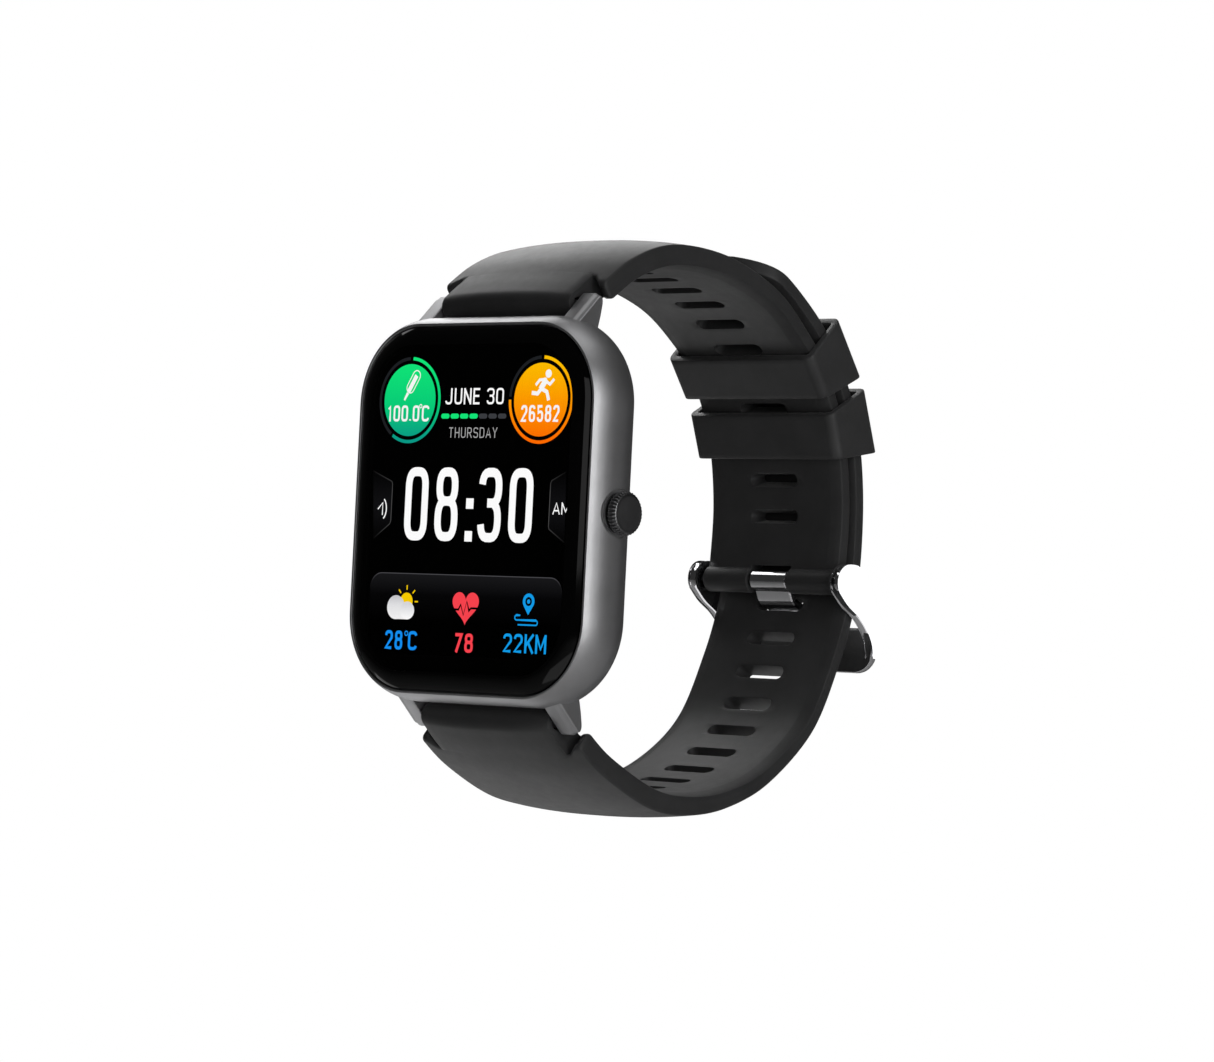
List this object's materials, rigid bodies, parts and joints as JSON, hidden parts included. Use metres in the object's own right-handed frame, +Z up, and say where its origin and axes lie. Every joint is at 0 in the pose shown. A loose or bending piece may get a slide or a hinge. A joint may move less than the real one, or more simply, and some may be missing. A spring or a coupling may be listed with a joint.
{
  "type": "smartwatch",
  "caption": "Square smartwatch with rounded barrel case, glass front, side crown, quick-release bars and a closed silicone strap with loops, buckle and tongue.",
  "frame": {"origin": "middle of the flat outer face of the sensor window on the back of the case, where the watch rests on the wrist", "axes": "+X across towards the crown, +Y from the case back towards the wrist, so the display faces -Y, +Z up towards 12 o'clock"},
  "size_m": [0.0424, 0.065, 0.0706],
  "materials": {
    "gunmetal": "satin anodised dark grey",
    "glass": "polished black-backed glass",
    "display": "smooth",
    "silicone": "soft-touch matte",
    "chrome": "polished",
    "steel": "turned",
    "black_plastic": "matte",
    "rubber": "matte",
    "circuit": "solder mask",
    "gold": "gold plated",
    "foil": "foil",
    "led_green": "clear encapsulant"
  },
  "bodies": {
    "case": {"mid_case": "gunmetal", "cover_glass": "glass", "glass_gasket": "rubber", "display_panel": "display", "inner_frame": "black_plastic", "main_board": "circuit", "shield_can": "foil", "battery": "foil", "vibration_motor": "steel", "speaker": "black_plastic", "rear_gasket": "rubber", "rear_cover": "black_plastic", "case_screw_top_left": "steel", "case_screw_top_right": "steel", "case_screw_bottom_left": "steel", "case_screw_bottom_right": "steel", "charge_contact_1": "gold", "charge_contact_2": "gold", "charge_magnet_1": "steel", "charge_magnet_2": "steel", "sensor_window": "glass", "sensor_board": "circuit", "sensor_led_1": "led_green", "sensor_led_2": "led_green", "photodiode": "black_plastic", "crown_tube": "steel", "encoder_sensor": "black_plastic", "crown_switch": "black_plastic"},
    "crown_rotor": {"encoder_wheel": "black_plastic"},
    "crown": {"crown_cap": "gunmetal", "crown_stem": "steel", "crown_oring": "rubber", "crown_clip": "steel"},
    "switch_plunger": {"switch_plunger": "steel"},
    "strap_top_end": {"upper_strap_end": "silicone", "top_bar_tube": "steel"},
    "top_release": {"top_bar_tip": "steel"},
    "strap_loop": {"upper_strap": "silicone", "lower_strap": "silicone", "buckle_pin": "steel"},
    "keeper_1": {"keeper_1": "silicone"},
    "keeper_2": {"keeper_2": "silicone"},
    "strap_bottom_end": {"lower_strap_end": "silicone", "bottom_bar_tube": "steel"},
    "bottom_release": {"bottom_bar_tip": "steel"},
    "buckle": {"buckle_frame": "chrome"},
    "tongue": {"buckle_tongue": "chrome"}
  },
  "joints": [
    {"name": "crown_spin", "type": "hinge", "parent": "case", "child": "crown_rotor", "pos_m": [0, -0.0063, 0], "axis": [1, 0, 0], "continuous": true},
    {"name": "crown_press", "type": "slide", "parent": "crown_rotor", "child": "crown", "axis": [-1, 0, 0], "range_m": [0, 0.0004], "stiffness_N_per_m": 1500},
    {"name": "plunger_press", "type": "slide", "parent": "case", "child": "switch_plunger", "axis": [-1, 0, 0], "range_m": [0, 0.0004]},
    {"name": "strap_top_swing", "type": "hinge", "parent": "case", "child": "strap_top_end", "pos_m": [0, -0.0046, 0.0247], "axis": [1, 0, 0], "range_deg": [-8, 8]},
    {"name": "strap_top_flex", "type": "hinge", "parent": "strap_top_end", "child": "strap_loop", "pos_m": [0, 0.01038, 0.03193], "axis": [1, 0, 0], "range_deg": [-6.2, 6.2]},
    {"name": "strap_bottom_flex", "type": "hinge", "parent": "strap_loop", "child": "strap_bottom_end", "pos_m": [0, 0.0108, -0.03351], "axis": [1, 0, 0], "range_deg": [-6.2, 6.2]},
    {"name": "keeper_1_slide", "type": "hinge", "parent": "strap_loop", "child": "keeper_1", "pos_m": [0, 0.02178, 0.00676], "axis": [1, 0, 0], "range_deg": [-0.8, 5.5]},
    {"name": "keeper_2_slide", "type": "hinge", "parent": "strap_loop", "child": "keeper_2", "pos_m": [0, 0.01556, 0.00296], "axis": [1, 0, 0], "range_deg": [-8, 0.8]},
    {"name": "buckle_swing", "type": "hinge", "parent": "strap_loop", "child": "buckle", "pos_m": [0, 0.0454, -0.0058], "axis": [1, 0, 0], "range_deg": [-3, 1.5]},
    {"name": "tongue_swing", "type": "hinge", "parent": "strap_loop", "child": "tongue", "pos_m": [0, 0.0454, -0.0058], "axis": [1, 0, 0], "range_deg": [-3, 1.5]},
    {"name": "top_release_slide", "type": "slide", "parent": "strap_top_end", "child": "top_release", "axis": [1, 0, 0], "range_m": [0, 0.0013], "stiffness_N_per_m": 400},
    {"name": "bottom_release_slide", "type": "slide", "parent": "strap_bottom_end", "child": "bottom_release", "axis": [1, 0, 0], "range_m": [0, 0.0013], "stiffness_N_per_m": 400}
  ],
  "couplings": [
    {"joint": "plunger_press", "follows": "crown_press", "ratio": 1},
    {"joint": "strap_top_flex", "follows": "strap_top_swing", "ratio": -0.758},
    {"joint": "strap_bottom_flex", "follows": "strap_top_swing", "ratio": 0.738},
    {"joint": "tongue_swing", "follows": "buckle_swing", "ratio": 1}
  ]
}
